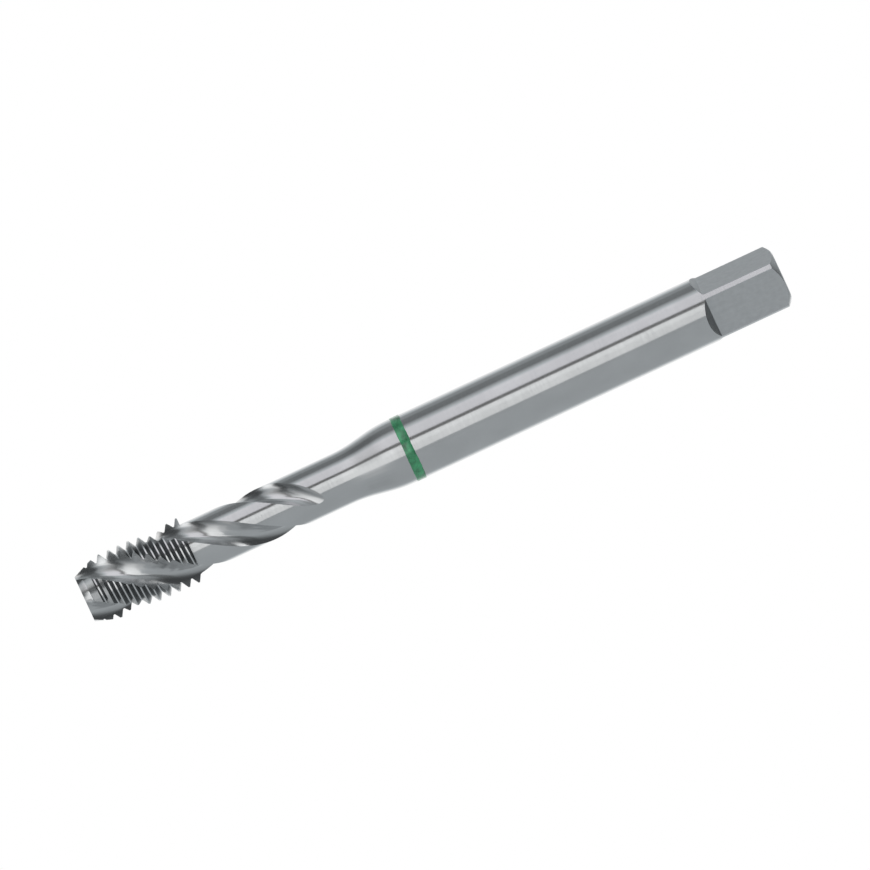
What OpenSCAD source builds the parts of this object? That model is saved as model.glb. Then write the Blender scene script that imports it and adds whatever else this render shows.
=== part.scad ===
// Machine tap with spiral flutes for an M8 x 1.25 thread.
// It is ground from one bar of high-speed steel. The origin is the centre of the
// square end's flat face, and +Z runs along the axis to the cutting tip.

/* [Shank] */
// Overall length
overall_l = 90; // [89:1:100]
// Diameter of the shank
shank_d = 8; // [8:0.1:9]
// Diameter of the neck behind the thread
neck_d = 6.3; // [6:0.05:6.4]
// Where the taper from the shank to the neck starts
taper_start = 50.7; // [50.3:0.1:52]
// Length of the taper
taper_l = 4.7; // [3:0.1:5]
// Length over which each end of the taper is rounded off
taper_blend = 1.4; // [0.4:0.1:1.8]

/* [Driving square] */
// Size across the flats of the square
square_af = 6.06; // [6.05:0.01:6.2]
// Length of the flats
square_l = 9.4; // [8:0.1:10]
// Length of the slope that the grinding wheel leaves behind the flats
square_runout_l = 0.8; // [0.5:0.1:1.5]
// Length of the chamfer on the square's end
end_chamfer_l = 0.75; // [0.5:0.05:1.2]
// Diameter of the flat end face
end_face_d = 6; // [5.5:0.1:6]

/* [Colour ring] */
// Where the ring starts
ring_start = 47.6; // [44:0.1:48]
// Width of the ring
ring_w = 1.25; // [0.8:0.05:1.6]
// Depth of the shallow groove that the ring fills
ring_groove = 0.04; // [0.02:0.01:0.1]
// How far the ring stands proud of the shank
ring_proud = 0.06; // [0.02:0.01:0.1]

/* [Thread] */
// Outside diameter of the thread
thread_d = 8; // [7.9:0.01:8.1]
// Pitch of the thread
thread_pitch = 1.25; // [1.25:0.25:1.5]
// Length of the threaded front, with its lead chamfer
thread_l = 13.65; // [10:0.05:16]
// Flat on the thread's crest
crest_flat = 0.16; // [0.1:0.01:0.2]
// Flat in the thread's root
root_flat = 0.16; // [0.1:0.01:0.2]
// Angle around the axis at which a crest meets the thread's back end
thread_phase = 15; // [0:5:355]
// Length of the slope that closes the thread at its back end
thread_end_slope = 0.2; // [0.1:0.05:0.4]

/* [Lead chamfer] */
// Diameter of the tip
tip_d = 5.9; // [5.5:0.1:6]
// Length of the lead chamfer
lead_chamfer_l = 3.2; // [2.5:0.1:4]

/* [Flutes] */
// Length in which a flute goes once around
flute_lead = 32; // [30:1:40]
// Angle around the axis of the first flute at the tip
flute_start = 19; // [0:1:119]
// Distance of the flutes' far ends from the tip
flute_l = 30.4; // [28:0.1:31]
// Length over which the grinding wheel leaves the flute
flute_runout_l = 5; // [3:0.5:7]

/* [Hidden] */
shank_r = shank_d / 2;
neck_r = neck_d / 2;
square_r = square_af / 2;
end_face_r = end_face_d / 2;
thread_r = thread_d / 2;
tip_r = tip_d / 2;
round_fn = 96;
cut_over = 2;
flank_slope = tan(30);
root_r = thread_r - (thread_pitch - crest_flat - root_flat) / 2 / flank_slope;
thread_back = overall_l - thread_l;
flute_twist = 360 / flute_lead;
flute_end = overall_l - flute_l;
// The fluted front is a hair thinner than the neck that it is joined to
front_neck_r = neck_r - 0.01;
front_end = flute_end - 0.3;
joint_depth = 0.5;
// Rows of points in the flutes' run-out, and the distance between those in the
// rest of the neck
runout_rows = 10;
neck_step = 1.2;
above_thread = 9;
// Section of one flute, in order around the axis: the angle from its middle and
// the radius of its floor. It starts at the cutting edge of the land before it,
// under which the floor is hollow, and rises slowly to the heel of the land after
// it. At both ends the floor is above the thread.
flute_section = [
    [-34.5, above_thread],
    [-32.3, 3.15],
    [-22, 2.43],
    [-12, 2.18],
    [-2, 2.19],
    [8, 2.3],
    [17, 2.52],
    [25, 2.8],
    [30.7, 3.15],
    [39.5, above_thread]
];
// At its end a flute is the round trough of the grinding wheel's rim: its lowest
// radius, and the angle from its middle to each of its edges
trough_floor_r = 2.18;
trough_edge = 32;
// Behind the flutes' ends the lines of points stay as far apart as at this depth
least_depth = 0.03;
flutes = 3;
land_steps = 8;
section_n = len(flute_section);
sector_n = section_n + land_steps - 1;
column_n = sector_n * flutes;
sector_angle = 360 / flutes;

// How far the wheel has left a flute, from 0 in front of the run-out to 1 at its end
function gone(z) = min(max((flute_end + flute_runout_l - z) / flute_runout_l, 0), 1);

// Depth of the flutes as a share of their depth in the thread
function flute_depth(z) = 1 - pow(gone(z), 2);

// How much of the section has turned into the wheel's trough
function trough_share(z) = pow(gone(z), 2) * (3 - 2 * gone(z));

// Width of the flutes as a share of their width in the thread: an arc that is
// lifted out of the neck gets narrower with the root of its depth
function flute_width(z) = sqrt(max(flute_depth(z), least_depth));

// Angle of a column of points, counted from the middle of the first flute
function column_angle(i, w) =
    let (sector = floor(i / sector_n))
    let (k = i - sector * sector_n)
    let (heel = flute_section[section_n - 1][0] * w)
    let (edge = sector_angle + flute_section[0][0] * w)
    sector * sector_angle + (k < section_n
        ? flute_section[k][0] * w
        : heel + (edge - heel) * (k - section_n + 1) / land_steps);

// Depth of the section's k-th point below the neck, in the flute and in the trough
function section_depth(k) = max(front_neck_r - flute_section[k][1], 0);
function trough_depth(k) =
    (front_neck_r - trough_floor_r) * max(1 - pow(flute_section[k][0] / trough_edge, 2), 0);

// Radius of the flute's floor in a column, and more than any other on the lands
function floor_r(i, z) =
    let (k = i - floor(i / sector_n) * sector_n)
    k >= section_n ? above_thread
    : z >= thread_back ? flute_section[k][1]
    : let (share = trough_share(z))
        front_neck_r - flute_depth(z)
            * (section_depth(k) * (1 - share) + trough_depth(k) * share);

// Angle around the axis of a column at a height
function around(i, z) =
    flute_start + flute_twist * (z - overall_l) + column_angle(i, flute_width(z));

// Distance along the axis from the nearest crest of the thread
function from_crest(angle, z) =
    let (turns = (z - thread_back) / thread_pitch - (angle - thread_phase) / 360)
    abs(turns - round(turns)) * thread_pitch;

// Radius of the thread before it is fluted
function threaded_r(angle, z) =
    let (flank = (thread_pitch / 2 - root_flat / 2 - from_crest(angle, z)) / flank_slope)
    min(thread_r, root_r + max(flank, 0), lead_r(z));

// Radius of the lead chamfer
function lead_r(z) = tip_r + (thread_r - tip_r) * (overall_l - z) / lead_chamfer_l;

// Height at which a column crosses the crest line of one turn, or a line beside it
function crossing(i, turn, beside) =
    let (start = (flute_start - flute_twist * overall_l + column_angle(i, 1) - thread_phase) / 360)
    (thread_back + (turn + start) * thread_pitch + beside)
        / (1 - thread_pitch * flute_twist / 360);

// Half of the crest's flat, which is wider where the lead chamfer cuts it lower
function half_crest(z) =
    min(crest_flat / 2 + max(thread_r - lead_r(z), 0) * flank_slope,
        thread_pitch / 2 - root_flat / 2 - 0.01);

// Heights of a column's points: four lines for each turn of the thread,
// held between the thread's two ends
function thread_height(i, row) =
    let (turn = first_turn + floor(row / 4))
    let (line = row % 4)
    let (half = half_crest(crossing(i, turn, 0)))
    let (root = thread_pitch / 2)
    let (beside = line == 0 ? -half : line == 1 ? half
        : line == 2 ? root - root_flat / 2 : root + root_flat / 2)
    min(max(crossing(i, turn, beside), thread_back), overall_l);

// Turns that the columns need so that each of them starts and ends beyond the thread
first_turn = floor(min([for (i = [0:column_n - 1])
    (thread_back - crossing(i, 0, 0)) / thread_pitch])) - 1;
last_turn = ceil(max([for (i = [0:column_n - 1])
    (overall_l - crossing(i, 0, 0)) / thread_pitch])) + 1;
thread_rows = 4 * (last_turn - first_turn + 1);

// Heights of the rows in the neck, from the joint up to the thread
neck_heights = [
    front_end - joint_depth,
    front_end,
    each [for (k = [0:runout_rows - 1])
        flute_end + flute_runout_l * (1 - sqrt(1 - k / runout_rows))],
    each [for (z = [flute_end + flute_runout_l:neck_step:thread_back - neck_step / 2]) z],
    thread_back - thread_end_slope
];
neck_rows = len(neck_heights);
row_n = neck_rows + thread_rows;

function height(i, row) =
    row < neck_rows ? neck_heights[row] : thread_height(i, row - neck_rows);

// Index of a point. The column that closes the ring is the first one again, one
// turn of the thread further on.
function index(i, row) =
    i < column_n ? row * column_n + i
    : row < neck_rows ? row * column_n
    : min(row + 4, row_n - 1) * column_n;

function front_point(i, row) =
    let (z = height(i, row))
    let (angle = around(i, z))
    let (body_r = row < neck_rows ? front_neck_r : threaded_r(angle, z))
    let (r = min(body_r, floor_r(i, z)))
    [r * cos(angle), r * sin(angle), z];

// Fluted and threaded front, as one closed skin. Rows that are held at an end of
// the thread coincide there, so the triangles between them are left out.
module fluted_front() {
    points = [for (row = [0:row_n - 1]) for (i = [0:column_n - 1]) front_point(i, row)];
    sides = [for (row = [0:row_n - 2]) for (i = [0:column_n - 1])
        let (a = index(i, row))
        let (b = index(i + 1, row))
        let (c = index(i, row + 1))
        let (d = index(i + 1, row + 1))
        each [
            if (points[a] != points[c]) [a, c, b],
            if (points[b] != points[d]) [b, c, d]
        ]];
    back = [for (i = [0:column_n - 1]) i];
    tip = [for (i = [column_n - 1:-1:0]) (row_n - 1) * column_n + i];
    polyhedron(points = points, faces = [each sides, back, tip], convexity = 6);
}

// Height difference along a ramp whose start is rounded off
function soft(x) =
    x <= -taper_blend ? 0 : x >= taper_blend ? x : pow(x + taper_blend, 2) / (4 * taper_blend);

function taper_r(z) =
    shank_r - (shank_r - neck_r) / taper_l
        * (soft(z - taper_start) - soft(z - taper_start - taper_l));

// Shank and neck as one turned profile, with the groove for the colour ring
module turned_shank() {
    ring_end = ring_start + ring_w;
    bends = [for (end = [0, taper_l]) for (k = [-4:4])
        taper_start + end + taper_blend * k / 4];
    rotate_extrude($fn = round_fn)
        polygon([
            [0, 0],
            [end_face_r, 0],
            [shank_r, end_chamfer_l],
            [shank_r, ring_start],
            [shank_r - ring_groove, ring_start],
            [shank_r - ring_groove, ring_end],
            [shank_r, ring_end],
            each [for (z = bends) [taper_r(z), z]],
            [neck_r, front_end],
            [0, front_end]
        ]);
}

// What the grinding wheel takes away for one flat of the square
module flat_cut() {
    rotate([90, 0, 0])
        linear_extrude(height = 2 * shank_d, center = true)
            polygon([
                [square_r, -cut_over],
                [square_r, square_l],
                [shank_r, square_l + square_runout_l],
                [shank_r + cut_over, square_l + square_runout_l],
                [shank_r + cut_over, -cut_over]
            ]);
}

module tap() {
    color([0.62, 0.64, 0.65])
        union() {
            fluted_front();
            difference() {
                turned_shank();
                for (side = [0:3])
                    rotate([0, 0, 90 * side])
                        flat_cut();
            }
        }
}

module colour_ring() {
    color([0.13, 0.45, 0.27])
        translate([0, 0, ring_start])
            difference() {
                cylinder(h = ring_w, r = shank_r + ring_proud, $fn = round_fn);
                translate([0, 0, -cut_over])
                    cylinder(h = ring_w + 2 * cut_over, r = shank_r - ring_groove, $fn = round_fn);
            }
}

tap();
colour_ring();
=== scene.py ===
# %% [markdown]
# # A thread tap in a white studio
#
# The object is a machine tap: a rod of high-speed steel, 90 mm long, with a thread and
# three spiral flutes at its tip, a slimmer neck, a round shank with a green ring, and a
# square end by which a tap holder drives it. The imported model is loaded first, and every
# piece below is built in its frame: metres, +Z along the axis, the square end on z = 0.

from math import asin, atan2, cos, pi, radians, sin, sqrt

import bmesh
import bpy
from mathutils import Matrix, Vector
from mathutils.geometry import interpolate_bezier


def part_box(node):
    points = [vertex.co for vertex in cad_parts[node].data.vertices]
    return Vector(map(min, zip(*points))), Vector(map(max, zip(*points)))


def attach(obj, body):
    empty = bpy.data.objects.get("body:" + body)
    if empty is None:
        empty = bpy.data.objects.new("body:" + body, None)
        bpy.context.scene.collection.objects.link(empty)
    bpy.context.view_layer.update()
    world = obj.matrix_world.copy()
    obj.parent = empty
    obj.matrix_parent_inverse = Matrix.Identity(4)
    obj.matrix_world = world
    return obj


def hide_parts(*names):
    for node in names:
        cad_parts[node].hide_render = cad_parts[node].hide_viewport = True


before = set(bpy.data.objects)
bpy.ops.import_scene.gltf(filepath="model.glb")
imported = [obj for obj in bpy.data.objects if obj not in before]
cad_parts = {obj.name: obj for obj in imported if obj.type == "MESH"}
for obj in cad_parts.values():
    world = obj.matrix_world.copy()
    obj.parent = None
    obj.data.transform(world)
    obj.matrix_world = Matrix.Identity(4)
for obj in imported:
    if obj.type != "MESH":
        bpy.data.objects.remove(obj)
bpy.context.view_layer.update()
MM = 0.001

# %% [markdown]
# ## The camera
#
# The photograph looks square onto the axis, and the tap lies across it from lower left to
# upper right. It was taken from far enough away that its perspective shifts no line by more
# than about 0.2 mm, so an orthographic camera stands in for it. The camera is level beside
# the tap and rolled, which leaves the tap upright in its own frame.

# %% The camera
VIEW_AZIMUTH = radians(24.7)
ROLL = radians(24.955)
PICTURE_PIXELS = 870
PIXELS_PER_MM = 8.547
CENTRE_HEIGHT = 44.73 * MM
CENTRE_SIDE = 0.04 * MM
CAMERA_DISTANCE = 0.6

to_camera = Vector((sin(VIEW_AZIMUTH), -cos(VIEW_AZIMUTH), 0))
sideways = Vector((cos(VIEW_AZIMUTH), sin(VIEW_AZIMUTH), 0))
axis = Vector((0, 0, 1))
image_right = -sin(ROLL) * sideways - cos(ROLL) * axis
image_up = cos(ROLL) * sideways - sin(ROLL) * axis

camera_data = bpy.data.cameras.new("camera")
camera_data.type = "ORTHO"
camera_data.ortho_scale = PICTURE_PIXELS / PIXELS_PER_MM * MM
camera = bpy.data.objects.new("camera", camera_data)
bpy.context.scene.collection.objects.link(camera)
turn = Matrix((image_right, image_up, to_camera)).transposed()
centre = CENTRE_HEIGHT * axis + CENTRE_SIDE * sideways
camera.matrix_world = Matrix.Translation(centre + CAMERA_DISTANCE * to_camera) @ turn.to_4x4()
bpy.context.scene.camera = camera
print("picture width, mm:", round(camera_data.ortho_scale / MM, 2))

# %% [markdown]
# ## Modelling by hand, in code
#
# An operator acts on what is selected, so each step below starts by selecting one piece
# alone. These helpers are the moves that a modeller repeats all the time: add a primitive,
# open it in edit mode, extrude what is selected, close it with its faces turned outward.

# %% Moves that every piece uses
def start(add, name, **where):
    """Adds a primitive, selected alone, and names it."""
    bpy.ops.object.select_all(action="DESELECT")
    add(**where)
    piece = bpy.context.object
    piece.name = piece.data.name = name
    return piece


def open_up(piece, kind="FACE"):
    """Opens a piece in edit mode with all of it selected."""
    bpy.ops.object.select_all(action="DESELECT")
    piece.select_set(True)
    bpy.context.view_layer.objects.active = piece
    bpy.ops.object.mode_set(mode="EDIT")
    bpy.ops.mesh.select_mode(type=kind)
    bpy.ops.mesh.select_all(action="SELECT")


def pick(piece, wanted):
    """Opens a piece with only those vertices selected whose place is wanted."""
    open_up(piece, "VERT")
    bpy.ops.mesh.select_all(action="DESELECT")
    bpy.ops.object.mode_set(mode="OBJECT")
    for vertex in piece.data.vertices:
        vertex.select = wanted(vertex.co)
    bpy.ops.object.mode_set(mode="EDIT")


def grow(step):
    """Extrudes what is selected and moves it by a step."""
    bpy.ops.mesh.extrude_region_move(TRANSFORM_OT_translate={"value": step})


def close(piece):
    """Turns all faces outward, leaves edit mode and puts the piece's place into its mesh."""
    bpy.ops.mesh.select_all(action="SELECT")
    bpy.ops.mesh.normals_make_consistent(inside=False)
    bpy.ops.object.mode_set(mode="OBJECT")
    bpy.ops.object.transform_apply(location=True, rotation=True, scale=True)
    return piece


def measure(piece):
    """Prints a piece's faces, its open edges, its volume and its box."""
    copy = bmesh.new()
    copy.from_mesh(piece.data)
    open_edges = sum(1 for edge in copy.edges if not edge.is_manifold)
    volume = copy.calc_volume() / MM ** 3
    low = [round(min(v.co[k] for v in copy.verts) / MM, 2) for k in range(3)]
    high = [round(max(v.co[k] for v in copy.verts) / MM, 2) for k in range(3)]
    print(piece.name, "faces", len(copy.faces), "open edges", open_edges,
          "volume mm3", round(volume, 1), "box mm", low, high)
    copy.free()


def turned(name, profile, segments):
    """A turned piece: a disc, extruded and resized from each (radius, height) to the next."""
    (radius, height), *rest = profile
    piece = start(bpy.ops.mesh.primitive_circle_add, name, vertices=segments, radius=radius,
                  fill_type="NGON", location=(0, 0, height))
    open_up(piece)
    for next_radius, next_height in rest:
        grow((0, 0, next_height - height))
        ratio = next_radius / radius
        bpy.ops.transform.resize(value=(ratio, ratio, 1))
        radius, height = next_radius, next_height
    return close(piece)


def traced(name, points):
    """A line through points: one vertex, extruded from each point to the next."""
    piece = start(bpy.ops.mesh.primitive_plane_add, name, size=MM)
    open_up(piece, "VERT")
    bpy.ops.mesh.merge(type="CENTER")
    bpy.ops.transform.translate(value=points[0])
    for here, there in zip(points, points[1:]):
        grow(there - here)
    bpy.ops.object.mode_set(mode="OBJECT")
    return piece


def copied(piece, angle):
    """A copy with its own mesh, turned round the axis."""
    bpy.ops.object.select_all(action="DESELECT")
    piece.select_set(True)
    bpy.context.view_layer.objects.active = piece
    bpy.ops.object.duplicate()
    bpy.ops.transform.rotate(value=-angle, orient_axis="Z", center_override=(0, 0, 0))
    bpy.ops.object.transform_apply(location=True, rotation=True, scale=True)
    return bpy.context.object


def combine(piece, tool, operation):
    """Joins, cuts or crops a piece with a tool. The faces that the tool leaves keep its finish."""
    bpy.ops.object.select_all(action="DESELECT")
    piece.select_set(True)
    bpy.context.view_layer.objects.active = piece
    step = piece.modifiers.new("step", "BOOLEAN")
    step.object = tool
    step.operation = operation
    step.solver = "MANIFOLD"
    step.material_mode = "TRANSFER"
    bpy.ops.object.modifier_apply(modifier=step.name)
    bpy.data.objects.remove(tool)


def finish_with(piece, *materials):
    """Gives a piece its materials. All faces get the first one."""
    piece.data.materials.clear()
    for material in materials:
        piece.data.materials.append(material)


def apply_all(piece):
    """Applies a piece's modifiers in their order."""
    bpy.ops.object.select_all(action="DESELECT")
    piece.select_set(True)
    bpy.context.view_layer.objects.active = piece
    for modifier in list(piece.modifiers):
        bpy.ops.object.modifier_apply(modifier=modifier.name)


def shade(piece, degrees):
    """Smooth shading that stops at sharp corners and where two finishes meet."""
    open_up(piece)
    for slot in range(len(piece.material_slots)):
        bpy.ops.mesh.select_mode(type="FACE")
        bpy.ops.mesh.select_all(action="DESELECT")
        piece.active_material_index = slot
        bpy.ops.object.material_slot_select()
        bpy.ops.mesh.region_to_loop()
        bpy.ops.mesh.mark_sharp()
    bpy.ops.object.mode_set(mode="OBJECT")
    bpy.ops.object.shade_smooth_by_angle(angle=radians(degrees), keep_sharp_edges=True)


# %% [markdown]
# ## The finishes of the steel
#
# All of the tap is one steel, but each grinding wheel leaves its own finish. The shank is
# ground while it turns, so its fine marks run around it and smear the reflections along
# the axis: that is an anisotropic gloss with its tangent around Z. The flats are ground
# straight across and look matt. The flutes show streaks along their spiral. The marks are
# stretched noise on Object coordinates, as bump, as roughness and faintly as colour. The
# thread's flanks get a darker colour of the same steel, which is painted shade.

# %% Helpers for finishes
MICRON = 0.001 * MM
NOISE_LOW = 0.3
NOISE_HIGH = 0.7
TONE_SPREAD = 0.05
ROUGH_SPREAD = 0.03
CLOUD_STRETCH = 1.5
QUARTER_TURN = 0.25


def node(tree, kind, values=(), **settings):
    """Adds a shader node, sets its properties, and fills or links its sockets."""
    made = tree.nodes.new("ShaderNode" + kind)
    for name, value in settings.items():
        setattr(made, name, value)
    for socket, value in dict(values).items():
        if isinstance(value, bpy.types.NodeSocket):
            tree.links.new(value, made.inputs[socket])
        else:
            made.inputs[socket].default_value = value
    return made


def new_finish(name, **sockets):
    """A material with a Principled shader whose sockets are set."""
    material = bpy.data.materials.new(name)
    material.use_nodes = True
    shader = material.node_tree.nodes["Principled BSDF"]
    for socket, value in sockets.items():
        shader.inputs[socket.replace("_", " ")].default_value = value
    return material, material.node_tree, shader


def grain(tree, coordinates, size, detail=3):
    """Noise whose features have a size along each axis."""
    stretched = node(tree, "Mapping", {"Vector": coordinates, "Scale": [1 / s for s in size]})
    noise = node(tree, "TexNoise", {"Vector": stretched.outputs[0], "Scale": 1, "Detail": detail})
    return noise.outputs["Fac"]


def between(tree, value, low, high):
    """Maps the middle of a noise to a range."""
    mapped = node(tree, "MapRange", {"Value": value, "From Min": NOISE_LOW, "From Max": NOISE_HIGH,
                                     "To Min": low, "To Max": high})
    return mapped.outputs["Result"]


def shades(tree, share, dark, light):
    """A colour between two, by a share from 0 to 1."""
    ramp = node(tree, "ValToRGB", {"Fac": share})
    ramp.color_ramp.elements[0].color = (*dark, 1)
    ramp.color_ramp.elements[1].color = (*light, 1)
    return ramp.outputs["Color"]


def steel(name, tone, rough, marks, mark_height, anisotropy=0.0, spiral=0.0, clouds=4 * MM):
    """A finish of the steel. Its marks have a size along each axis, and may follow a spiral."""
    material, tree, shader = new_finish(name, Metallic=1.0, Anisotropic=anisotropy,
                                        Anisotropic_Rotation=QUARTER_TURN)
    coordinates = node(tree, "TexCoord").outputs["Object"]
    if spiral:
        height = node(tree, "SeparateXYZ", {0: coordinates}).outputs["Z"]
        angle = node(tree, "Math", {0: height, 1: -spiral}, operation="MULTIPLY").outputs[0]
        coordinates = node(tree, "VectorRotate", {"Vector": coordinates, "Angle": angle},
                           rotation_type="Z_AXIS").outputs[0]
    fine = grain(tree, coordinates, marks)
    cloudy = grain(tree, coordinates, (clouds, clouds, CLOUD_STRETCH * clouds), 2)
    dark = [(1 - TONE_SPREAD) * c for c in tone]
    light = [(1 + TONE_SPREAD) * c for c in tone]
    tree.links.new(shades(tree, between(tree, cloudy, 0, 1), dark, light), shader.inputs["Base Color"])
    tree.links.new(between(tree, fine, rough - ROUGH_SPREAD, rough + ROUGH_SPREAD),
                   shader.inputs["Roughness"])
    bump = node(tree, "Bump", {"Height": fine, "Distance": mark_height})
    tree.links.new(bump.outputs["Normal"], shader.inputs["Normal"])
    if anisotropy:
        around = node(tree, "Tangent", direction_type="RADIAL", axis="Z")
        tree.links.new(around.outputs[0], shader.inputs["Tangent"])
    return material


# %% [markdown]
# ## The blank
#
# A tap starts as a turned rod: the shank, a taper down to the neck, and the neck itself.
# A lathe would be copied by spinning a profile, but extruding a disc and resizing it step
# by step gives the same rings and closes both ends at once.

# %% Turn the blank
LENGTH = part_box("tap")[1].z
SHANK_R = 4.0 * MM
NECK_R = 3.15 * MM
END_CHAMFER = 0.76 * MM
END_FORM = [(2.6 * MM, 0), (2.85 * MM, 0.03 * MM), (3.05 * MM, 0.12 * MM)]
RING_STEP = 2.5 * MM
ROUND = 240
TAPER_START = 50.7 * MM
TAPER_LENGTH = 4.7 * MM
TAPER_BLEND = 1.4 * MM
TAPER_STEPS = 8
THREAD_BACK = LENGTH - 13.65 * MM
CORE_OVERLAP = 1.5 * MM


def ramp(x):
    """A ramp that starts softly."""
    if abs(x) >= TAPER_BLEND:
        return max(x, 0)
    return (x + TAPER_BLEND) ** 2 / (4 * TAPER_BLEND)


def taper_r(z):
    """Radius of the taper between the shank and the neck."""
    slope = (SHANK_R - NECK_R) / TAPER_LENGTH
    return SHANK_R - slope * (ramp(z - TAPER_START) - ramp(z - TAPER_START - TAPER_LENGTH))


bends = [centre_z + TAPER_BLEND * (2 * k / TAPER_STEPS - 1)
         for centre_z in (TAPER_START, TAPER_START + TAPER_LENGTH) for k in range(TAPER_STEPS + 1)]


def rings(radius, first, last):
    """Rings on a straight stretch, which keep its faces short."""
    return [(radius, first + k * RING_STEP) for k in range(1, int((last - first) / RING_STEP))]


shank_steel = steel("ground_shank", (0.62, 0.625, 0.63), 0.2, (2.5 * MM, 2.5 * MM, 0.12 * MM),
                    MICRON, anisotropy=0.85)
tap = turned("ground_tap", END_FORM + [(SHANK_R, END_CHAMFER)] + rings(SHANK_R, END_CHAMFER, bends[0])
             + [(taper_r(z), z) for z in bends] + rings(NECK_R, bends[-1], THREAD_BACK)
             + [(NECK_R, THREAD_BACK + CORE_OVERLAP)], ROUND)
finish_with(tap, shank_steel)
measure(tap)

# %% [markdown]
# ## The thread
#
# The thread is a right-hand M8 x 1.25 with flanks at 60 degrees. One pitch of its profile
# is drawn as a line and screwed up the axis. Bisecting closes the coil at both ends, and a
# turned envelope crops it, which leaves the lead chamfer that cuts first. On a real tap the
# chamfer also falls away behind each cutting edge. That relief is left out here.

# %% Screw the thread
THREAD_R = 4.0 * MM
PITCH = 1.25 * MM
FLAT = 0.16 * MM
ROOT_R = THREAD_R - (PITCH - 2 * FLAT) / 2 * sqrt(3)
PHASE = radians(15)
TURNS = 14
TIP_R = 2.95 * MM
LEAD_LENGTH = 3.2 * MM
OVERSIZE_R = 4.4 * MM
SAFE = 0.2 * MM
FLANK_RISE = 0.5
COIL_STEPS = 120
TURNS_BELOW = 1.5
SAME_POINT = 0.001 * MM
CUT_EXACTNESS = 0.0001 * MM
CLEAR_OF_NECK = 0.01 * MM

coil_start = THREAD_BACK - (TURNS_BELOW + PHASE / (2 * pi)) * PITCH
profile = [(ROOT_R, 0), (ROOT_R, FLAT / 2),
           (THREAD_R, (PITCH - FLAT) / 2), (THREAD_R, (PITCH + FLAT) / 2),
           (ROOT_R, PITCH - FLAT / 2), (ROOT_R, PITCH)]
thread = traced("thread", [Vector((r, 0, coil_start + z)) for r, z in profile])
coil = thread.modifiers.new("coil", "SCREW")
coil.axis = "Z"
coil.screw_offset = PITCH
coil.iterations = TURNS
coil.steps = coil.render_steps = COIL_STEPS
coil.use_merge_vertices = True
coil.merge_threshold = SAME_POINT
bpy.ops.object.modifier_apply(modifier=coil.name)
open_up(thread)
bpy.ops.mesh.remove_doubles(threshold=2 * SAME_POINT)
bpy.ops.mesh.bisect(plane_co=(0, 0, THREAD_BACK - SAFE / 2), plane_no=(0, 0, 1), use_fill=True,
                    clear_inner=True, threshold=CUT_EXACTNESS)
bpy.ops.mesh.select_all(action="SELECT")
bpy.ops.mesh.bisect(plane_co=(0, 0, LENGTH), plane_no=(0, 0, 1), use_fill=True,
                    clear_outer=True, threshold=CUT_EXACTNESS)
close(thread)

thread_steel = steel("ground_thread", (0.63, 0.635, 0.64), 0.2, (2 * MM, 2 * MM, 0.1 * MM),
                     MICRON, anisotropy=0.5)
# The flanks are the thread's own steel with a darker colour: painted shade in the thread's grooves.
shaded_flank_steel = steel("painted_shade_flanks", (0.33, 0.34, 0.345), 0.3, (2 * MM, 2 * MM, 0.06 * MM), MICRON)
finish_with(thread, thread_steel, shaded_flank_steel)
# Faces that lean along the axis, the flanks, take the painted shade. The tip's end face does not.
for face in thread.data.polygons:
    face.material_index = int(abs(face.normal.z) > FLANK_RISE and face.center.z < LENGTH - SAFE / 2)
oversize_z = LENGTH - LEAD_LENGTH * (OVERSIZE_R - TIP_R) / (THREAD_R - TIP_R)
envelope = turned("envelope", [(NECK_R + CLEAR_OF_NECK, THREAD_BACK - SAFE), (OVERSIZE_R, THREAD_BACK),
                               (OVERSIZE_R, oversize_z), (TIP_R, LENGTH)], ROUND)
finish_with(envelope, thread_steel)
combine(thread, envelope, "INTERSECT")
combine(tap, thread, "UNION")
measure(tap)

# %% [markdown]
# ## The flutes
#
# Three flutes carry the chips back out of the hole. Each is ground by a round wheel that
# follows a right-hand spiral and lifts out in the neck. The tool here is the space that
# the wheel sweeps: a smooth line through a few points of the flute's section is drawn at
# the tip and extruded down in small steps, each turned by the twist.

# %% Draw the section of a flute
# Each point has its angle from the flute's middle and its distance from the axis. The first
# is the cutting edge of one land, the last is the heel of the next.
SECTION = [(-34.5, 4.0), (-32.3, 3.15), (-22, 2.43), (-12, 2.18), (-2, 2.19), (8, 2.3), (17, 2.52),
           (25, 2.8), (30.7, 3.15), (39.5, 4.0)]
FLOOR_R = min(radius for angle, radius in SECTION) * MM
OUTSIDE = 2.5 * MM
SMOOTH_STEPS = 4


def direction(angle):
    """A step of length 1 across the axis, at an angle round it."""
    return Vector((cos(angle), sin(angle), 0))


def smooth_line(points, steps):
    """A line through points that bends evenly between them."""
    line = [points[0]]
    for k in range(len(points) - 1):
        before, here, there, after = (points[max(k - 1, 0)], points[k], points[k + 1],
                                      points[min(k + 2, len(points) - 1)])
        leave = (there - before) / 6
        arrive = (after - here) / 6
        line += interpolate_bezier(here, here + leave, there - arrive, there, steps + 1)[1:]
    return line


corners = [radius * MM * direction(radians(angle)) for angle, radius in SECTION]
section = smooth_line(corners, SMOOTH_STEPS)
section = [section[0] + OUTSIDE * (section[0] - section[1]).normalized(), *section,
           section[-1] + OUTSIDE * (section[-1] - section[-2]).normalized()]
print("points in the section:", len(section), "floor radius, mm:", round(FLOOR_R / MM, 2))

# %% Sweep the wheel along the spiral
LEAD = 32 * MM
FLUTE_START = radians(19)
FLUTE_END = LENGTH - 30.4 * MM
SWEEP_STEP = 0.2 * MM
TWIST = 2 * pi / LEAD


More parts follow.
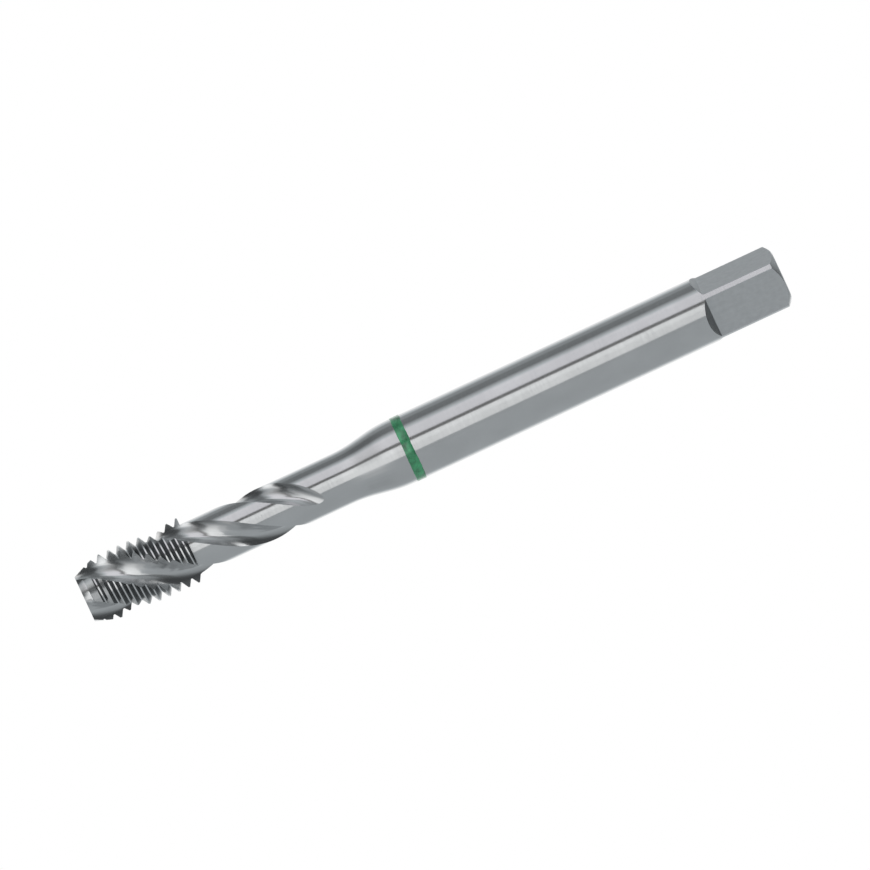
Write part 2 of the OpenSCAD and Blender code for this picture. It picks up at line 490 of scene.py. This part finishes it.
def sweep():
    """Extrudes the section from the tip to the flute's end, turning it on the way."""
    z = LENGTH + SWEEP_STEP
    turn = Matrix.Rotation(FLUTE_START + TWIST * (z - LENGTH), 3, "Z")
    wheel = traced("flute_wheel", [turn @ point + z * axis for point in section])
    open_up(wheel, "VERT")
    bpy.ops.mesh.edge_face_add()
    bpy.ops.mesh.select_mode(type="FACE")
    bpy.ops.mesh.select_all(action="SELECT")
    while z > FLUTE_END - SWEEP_STEP:
        z -= SWEEP_STEP
        grow((0, 0, -SWEEP_STEP))
        bpy.ops.transform.rotate(value=TWIST * SWEEP_STEP, orient_axis="Z", center_override=(0, 0, z))
    return close(wheel)


wheel = sweep()
measure(wheel)

# %% [markdown]
# ## The flute's round end
#
# At its far end a flute shows the wheel itself: the floor rises along the wheel's curve,
# and the hooked section turns into the round trough of the wheel's rim. No single tool
# makes that change, so every point of the last stretch is slid along the flute's middle
# line. The nearer a point is to the end, the more of the arc it takes on.

# %% Let the wheel leave
RUNOUT = 5 * MM
TROUGH_R = 3 * MM
TROUGH_SIDE = -0.36 * MM
TROUGH_EDGE = 0.9 * TROUGH_R


def trough(side):
    """Height of the trough's arc beside its lowest point. Beyond its edge it goes on straight."""
    beside = abs(side - TROUGH_SIDE)
    bent = min(beside, TROUGH_EDGE)
    steepness = bent / sqrt(TROUGH_R ** 2 - bent ** 2)
    return FLOOR_R + TROUGH_R - sqrt(TROUGH_R ** 2 - bent ** 2) + steepness * (beside - bent)


def leave(place):
    """Where a point of the wheel goes: outward along the flute's middle line."""
    gone = max(FLUTE_END + RUNOUT - place.z, 0) / RUNOUT
    changed = min(gone, 1)
    share = changed ** 2 * (3 - 2 * changed)
    turn = Matrix.Rotation(FLUTE_START + TWIST * (place.z - LENGTH), 3, "Z")
    here = turn.inverted() @ place
    here.x += share * (trough(here.y) - here.x) + (NECK_R - FLOOR_R) * gone ** 2
    return turn @ here


for vertex in wheel.data.vertices:
    vertex.co = leave(vertex.co)
flute_steel = steel("ground_flute", (0.62, 0.625, 0.63), 0.2, (0.12 * MM, 0.12 * MM, 4 * MM),
                    3 * MICRON, spiral=TWIST)
finish_with(wheel, flute_steel)
measure(wheel)
for tool in [wheel] + [copied(wheel, k * 2 * pi / 3) for k in (1, 2)]:
    combine(tap, tool, "DIFFERENCE")
measure(tap)

# %% [markdown]
# ## The driving square
#
# Four flats are ground on the shank's end. The wheel stops 9.4 mm up and leaves a short
# slope. One block stands for the wheel: its inner top edge is pulled down for the slope and
# bevelled, because no wheel has a sharp corner. Three turned copies make the others.

# %% Grind the flats
FLAT_R = 3.03 * MM
FLAT_LENGTH = 9.4 * MM
SLOPE = 0.8 * MM
BLOCK = 6 * MM
OVER = 1 * MM
WHEEL_CORNER = 0.08 * MM
CORNER_SEGMENTS = 4
SHARP_EDGE = 30
slope_drop = SLOPE * (BLOCK - FLAT_R) / (SHANK_R - FLAT_R)
block_top = FLAT_LENGTH + slope_drop
block = start(bpy.ops.mesh.primitive_cube_add, "flat_wheel", size=1,
              scale=(BLOCK - FLAT_R, 2 * BLOCK, block_top + OVER),
              location=((BLOCK + FLAT_R) / 2, 0, (block_top - OVER) / 2))
bpy.ops.object.transform_apply(location=True, rotation=True, scale=True)
pick(block, lambda place: place.x < SHANK_R and place.z > FLAT_LENGTH)
bpy.ops.transform.translate(value=(0, 0, -slope_drop))
bpy.ops.mesh.bevel(offset=WHEEL_CORNER, segments=CORNER_SEGMENTS)
close(block)
flat_steel = steel("ground_flats", (0.61, 0.62, 0.63), 0.42, (0.15 * MM, 0.15 * MM, 0.15 * MM),
                   6 * MICRON, clouds=0.5 * MM)
finish_with(block, flat_steel)
measure(block)
for tool in [block] + [copied(block, k * pi / 2) for k in (1, 2, 3)]:
    combine(tap, tool, "DIFFERENCE")

shade(tap, SHARP_EDGE)
measure(tap)
print("finishes:", {m.name: sum(p.material_index == k for p in tap.data.polygons)
                    for k, m in enumerate(tap.data.materials) if m})
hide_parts("tap")
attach(tap, "root")

# %% [markdown]
# ## The colour ring
#
# The green ring is a film of lacquer that a brush lays on while the shank turns, so its
# edges are round and a little wavy. A band without caps gets a wall, rounded rims and soft
# waves along the axis, each from a modifier. In patches the film is partly metallic, which
# gives real gleam, and its green is lighter there: that lighter green is a painted highlight.

# %% Brush on the ring
ring_low, ring_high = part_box("colour_ring")
FILM = 0.06 * MM
WALL = 0.14 * MM
WAVE = 0.17 * MM
WAVE_LENGTH = 1.1 * MM
RIM = 0.045 * MM
RIM_SEGMENTS = 3
EDGE_ROOM = 0.03 * MM
SKIN_ROOM = 0.006 * MM
RING_SHARP_EDGE = 40
DARK_GREEN = (0.005, 0.105, 0.04)
PAINTED_HIGHLIGHT_GREEN = (0.05, 0.34, 0.15)
film_r = SHANK_R + FILM - SKIN_ROOM
film_width = ring_high.z - ring_low.z - 2 * EDGE_ROOM
ring = start(bpy.ops.mesh.primitive_cylinder_add, "lacquer_ring", vertices=ROUND, radius=film_r,
             depth=film_width, end_fill_type="NOTHING", location=(0, 0, (ring_low.z + ring_high.z) / 2))
open_up(ring)
close(ring)
wall = ring.modifiers.new("wall", "SOLIDIFY")
wall.thickness = WALL
wall.offset = -1
rim = ring.modifiers.new("rim", "BEVEL")
rim.width = RIM
rim.segments = RIM_SEGMENTS
waves = ring.modifiers.new("waves", "DISPLACE")
waves.texture = bpy.data.textures.new("brush_waves", "CLOUDS")
waves.texture.noise_scale = WAVE_LENGTH
waves.direction = "Z"
waves.strength = WAVE
waves.mid_level = 0.5
apply_all(ring)

green, tree, shader = new_finish("green_lacquer_film", Coat_Weight=1.0, Coat_Roughness=0.12)
coordinates = node(tree, "TexCoord").outputs["Object"]
patches = grain(tree, coordinates, (0.9 * MM, 0.9 * MM, 0.7 * MM), 2)
brush = grain(tree, coordinates, (0.8 * MM, 0.8 * MM, 0.12 * MM), 3)
# The lighter green in the patches is a painted highlight. The metallic share in the same patches gives
# real gleam.
tree.links.new(shades(tree, between(tree, patches, 0, 1), DARK_GREEN, PAINTED_HIGHLIGHT_GREEN),
               shader.inputs["Base Color"])
tree.links.new(between(tree, patches, 0.15, 0.5), shader.inputs["Metallic"])
tree.links.new(between(tree, brush, 0.22, 0.4), shader.inputs["Roughness"])
skin = node(tree, "Bump", {"Height": brush, "Distance": 6 * MICRON})
tree.links.new(skin.outputs["Normal"], shader.inputs["Normal"])
finish_with(ring, green)
shade(ring, RING_SHARP_EDGE)
measure(ring)
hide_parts("colour_ring")
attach(ring, "root")

# %% [markdown]
# ## The studio
#
# A shiny cylinder is a picture of what stands around it. The world is plain white, which
# gives the white background and the soft light on the floor and on the lacquer. Around the
# tap stands a tent sewn from panels of different greys, and each panel shows as a stripe
# along the shank or as a patch in a flute. Only the gloss sees the tent, so it never stands
# in the camera's way, and the floor keeps the tap's own soft shadow.

# %% White world and pale floor
bpy.context.scene.view_settings.view_transform = "Standard"
world = bpy.data.worlds.new("white_room")
bpy.context.scene.world = world
world.use_nodes = True
world.node_tree.nodes["Background"].inputs["Color"].default_value = (1, 1, 1, 1)
world.node_tree.nodes["Background"].inputs["Strength"].default_value = 1
world.cycles.sampling_method = "NONE"

FLOOR_SIZE = 3
floor = start(bpy.ops.mesh.primitive_plane_add, "floor", size=FLOOR_SIZE)
floor_white, tree, shader = new_finish("floor_white", Base_Color=(0.85, 0.85, 0.85, 1), Roughness=0.8)
finish_with(floor, floor_white)
floor.visible_glossy = False

# %% [markdown]
# ## The panels
#
# A photographer hangs white cards and dark flags around shiny metal until each stripe sits
# right. The panels are that: patches of one tone, set while looking at the stripes
# along the shank. They suit this view best, and another view would want other cards.

# %% The tent's panels
# Each panel has a name, its angles round the tap from the camera, its angles above the
# level, its tone and its tint. A later panel lies over an earlier one.
COOL = (0.94, 1.0, 1.03)
PLAIN = (0.99, 1.0, 1.0)
PALE = (1.0, 0.99, 1.03)
WARM = (1.015, 1.0, 0.985)
PANELS = [
    ("surround", -180, 180, -90, 90, 0.40, COOL),
    ("lower_wall", -135, -21, -25, 17, 0.47, COOL),
    ("lower_back", -147, -135, -25, 40, 0.65, COOL),
    ("ground", -125, 72, -90, -37, 0.07, COOL),
    ("ground_back", -180, 180, -90, -60, 0.12, COOL),
    ("table", -28, 12, -37, -8, 0.20, COOL),
    ("table_right", 12, 66, -32, -8, 0.38, COOL),
    ("low_lamp", 33, 64, -62, -47, 1.70, PLAIN),
    ("low_right", 56, 104, -24, -8, 0.62, COOL),
    ("dim_left", -112, -80, 20, 34, 0.26, COOL),
    ("high_left", -82, -62, 37, 50, 0.52, PLAIN),
    ("upper_left", -60, -20, 8, 24, 0.50, COOL),
    ("softbox_left", -46, -24, 22, 31, 0.75, PLAIN),
    ("softbox_top", -24, 4, 30, 37, 0.62, PLAIN),
    ("softbox", -27, 5, 21, 31, 1.20, PLAIN),
    ("front", -19, 3, -7, 24, 1.12, PLAIN),
    ("strip", 3, 19.5, -7, 23, 1.28, PLAIN),
    ("high", -45, 38, 46, 66, 0.12, COOL),
    ("high_front", 7, 46, 30, 62, 0.07, COOL),
    ("upper_front", 28, 66, 15, 25, 0.66, PLAIN),
    ("upper_front_top", 30, 62, 25, 30, 0.42, PLAIN),
    ("front_right", 28, 66, -7, 15, 1.02, PALE),
    ("gap", 19.5, 30, -10, 28, 0.16, WARM),
    ("high_right", 36, 66, 40, 58, 1.50, PLAIN),
    ("upper_right", 50, 75, 29, 40, 0.58, COOL),
    ("right", 66, 74, -8, 18, 0.72, COOL),
    ("right_turn", 74, 81, -8, 16, 0.46, COOL),
    ("right_dark", 81, 108, -8, 16, 0.21, COOL),
    ("right_dim", 108, 130, -30, 16, 0.36, COOL),
    ("right_back", 130, 145, -37, 20, 0.66, COOL),
    ("right_black", 79, 125, 17, 45, 0.07, COOL),
    ("right_lamp", 125, 147, 18, 32, 1.40, WARM),
    ("back_wall_left", -180, -147, -22, 90, 1.0, PLAIN),
    ("back_wall_right", 145, 180, -22, 90, 1.0, PLAIN)]

# %% [markdown]
# ## The tent
#
# The tent is one large sphere that only glossy rays see. The panels' tones are written on
# its points, and each blending pass mixes a point with its neighbours, as the cloth of a
# softbox fades at its rim. The level band in front of the tap stays crisp: there the long
# straight edges of the panels stand close.

# %% Sew the tent
TENT_R = 2.0
TENT_SEGMENTS = 240
TENT_RINGS = 72
BLENDING_PASSES = 5
CRISP_LOW = radians(-9)
CRISP_HIGH = radians(15)
CRISP_SIDE = radians(95)
tent_centre = Vector((0, 0, LENGTH / 2))
tent = start(bpy.ops.mesh.primitive_uv_sphere_add, "tent", segments=TENT_SEGMENTS,
             ring_count=TENT_RINGS, radius=TENT_R, location=tent_centre,
             rotation=(0, 0, VIEW_AZIMUTH - pi / 2))
bpy.ops.object.transform_apply(location=True, rotation=True, scale=True)


def tent_tone(point):
    """Tone and tint of the last panel that lies over a point of the tent."""
    at = point - tent_centre
    across = (atan2(at.y, at.x) - VIEW_AZIMUTH + pi / 2 + pi) % (2 * pi) - pi
    above = asin(max(min(at.z / TENT_R, 1), -1))
    for name, first, last, low, high, tone, tint in reversed(PANELS):
        if radians(first) <= across <= radians(last) and radians(low) <= above <= radians(high):
            crisp = CRISP_LOW < above < CRISP_HIGH and abs(across) < CRISP_SIDE
            return tone * Vector(tint), not crisp


tones = [tent_tone(vertex.co) for vertex in tent.data.vertices]
soft = [blended for tone, blended in tones]
tones = [tone for tone, blended in tones]
for blending in range(BLENDING_PASSES):
    mixed = [tone.copy() for tone in tones]
    weight = [1] * len(tones)
    for edge in tent.data.edges:
        a, b = edge.vertices
        mixed[a] += tones[b]
        mixed[b] += tones[a]
        weight[a] += 1
        weight[b] += 1
    tones = [mixed[k] / weight[k] if soft[k] else tones[k] for k in range(len(tones))]
glow = tent.data.color_attributes.new("glow", "FLOAT_COLOR", "POINT")
glow.data.foreach_set("color", [value for tone in tones for value in (*tone, 1)])

cloth, tree, shader = new_finish("tent_cloth")
written = node(tree, "VertexColor", layer_name="glow")
light = node(tree, "Emission", {"Color": written.outputs["Color"]})
tree.links.new(light.outputs[0], tree.nodes["Material Output"].inputs["Surface"])
cloth.cycles.emission_sampling = "NONE"
finish_with(tent, cloth)
tent.visible_camera = False
tent.visible_diffuse = False
tent.visible_shadow = False
tent.visible_transmission = False
print("panels:", len(PANELS), "darkest and brightest green on the tent:",
      [round(f(tone.y for tone in tones), 2) for f in (min, max)])
